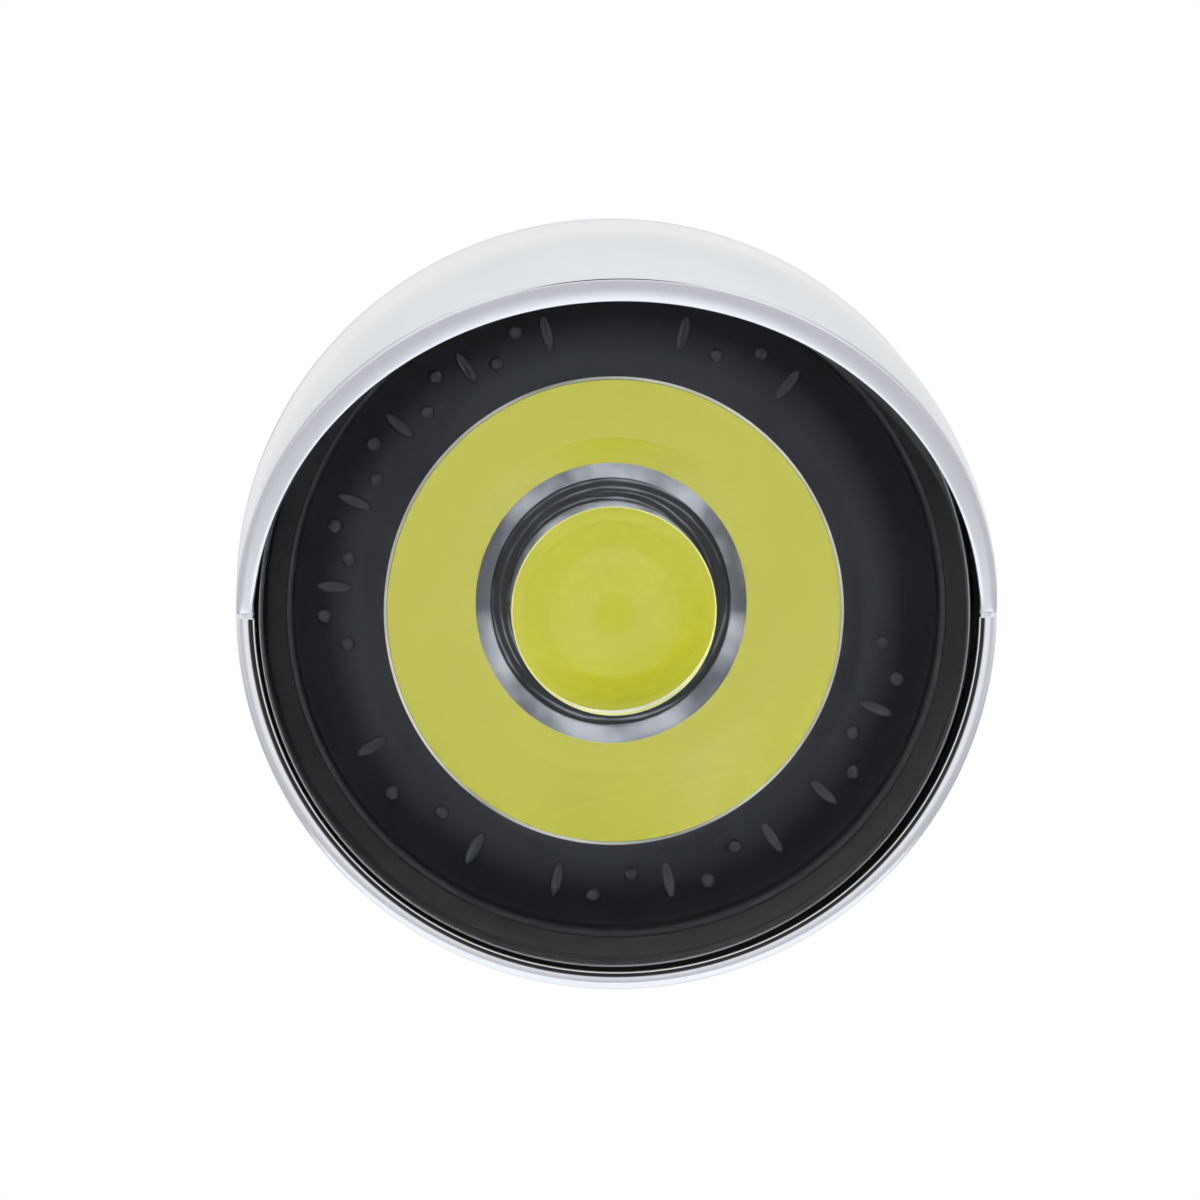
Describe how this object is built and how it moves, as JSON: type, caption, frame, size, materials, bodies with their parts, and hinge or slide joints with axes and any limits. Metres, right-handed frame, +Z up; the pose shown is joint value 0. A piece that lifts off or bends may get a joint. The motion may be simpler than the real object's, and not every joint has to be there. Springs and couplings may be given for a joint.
{
  "type": "round bullet marker lamp",
  "caption": "Small round bullet lamp with a chrome eyelid hood, clear collimator lens over one LED, and a hollow threaded mounting stud with washers and nut.",
  "frame": {"origin": "centre of the rubber pad's rear face, where the lamp sits on the panel, on the stud's axis", "axes": "+Y backwards along the stud, so the lamp shines along -Y; +Z up towards the hood; +X to the right seen from the front"},
  "size_m": [0.0322, 0.0526, 0.0322],
  "materials": {
    "chrome": "polished chrome plate",
    "clear": "clear polished acrylic",
    "silicone": "clear silicone",
    "black_plastic": "fine satin moulding",
    "rubber": "matte",
    "white_plastic": "satin",
    "phosphor": "matte yellow phosphor",
    "copper": "bright copper",
    "tinned": "tinned",
    "board_white": "white solder mask",
    "board_green": "green solder mask",
    "thermal_grey": "matte",
    "aluminium": "turned",
    "zinc_steel": "zinc plated",
    "chip_black": "moulded epoxy",
    "tantalum": "moulded epoxy"
  },
  "bodies": {
    "lamp": {"hood_shell": "chrome", "rear_shell": "chrome", "shell_gasket": "rubber", "bezel_screw": "zinc_steel", "lens_collimator": "clear", "lens_seal": "rubber", "lens_carrier": "black_plastic", "led_package": "white_plastic", "led_phosphor": "phosphor", "led_slug": "copper", "led_dome": "silicone", "led_lead_upper": "tinned", "led_lead_lower": "tinned", "star_board": "board_white", "thermal_pad": "thermal_grey", "heat_sink": "aluminium", "board_screw_left": "zinc_steel", "board_screw_right": "zinc_steel", "board_spacer": "black_plastic", "driver_board": "board_green", "driver_chip": "chip_black", "driver_diode": "chip_black", "driver_capacitor": "tantalum", "driver_resistor": "chip_black", "feed_wire_plus": "copper", "feed_wire_minus": "copper", "mounting_stud": "zinc_steel", "mounting_pad": "rubber", "wire_grommet": "rubber"},
    "washers": {"flat_washer": "zinc_steel", "spring_washer": "zinc_steel"},
    "nut": {"hex_nut": "zinc_steel"}
  },
  "joints": [
    {"name": "washer_travel", "type": "slide", "parent": "lamp", "child": "washers", "axis": [0, 1, 0], "range_m": [-0.00195, 0.00626]},
    {"name": "nut_spin", "type": "hinge", "parent": "washers", "child": "nut", "pos_m": [0, 0.0078, 0], "axis": [0, 1, 0], "range_deg": [-700, 2250]}
  ],
  "couplings": [
    {"joint": "washer_travel", "follows": "nut_spin", "m_per_rad": 0.00015915}
  ]
}
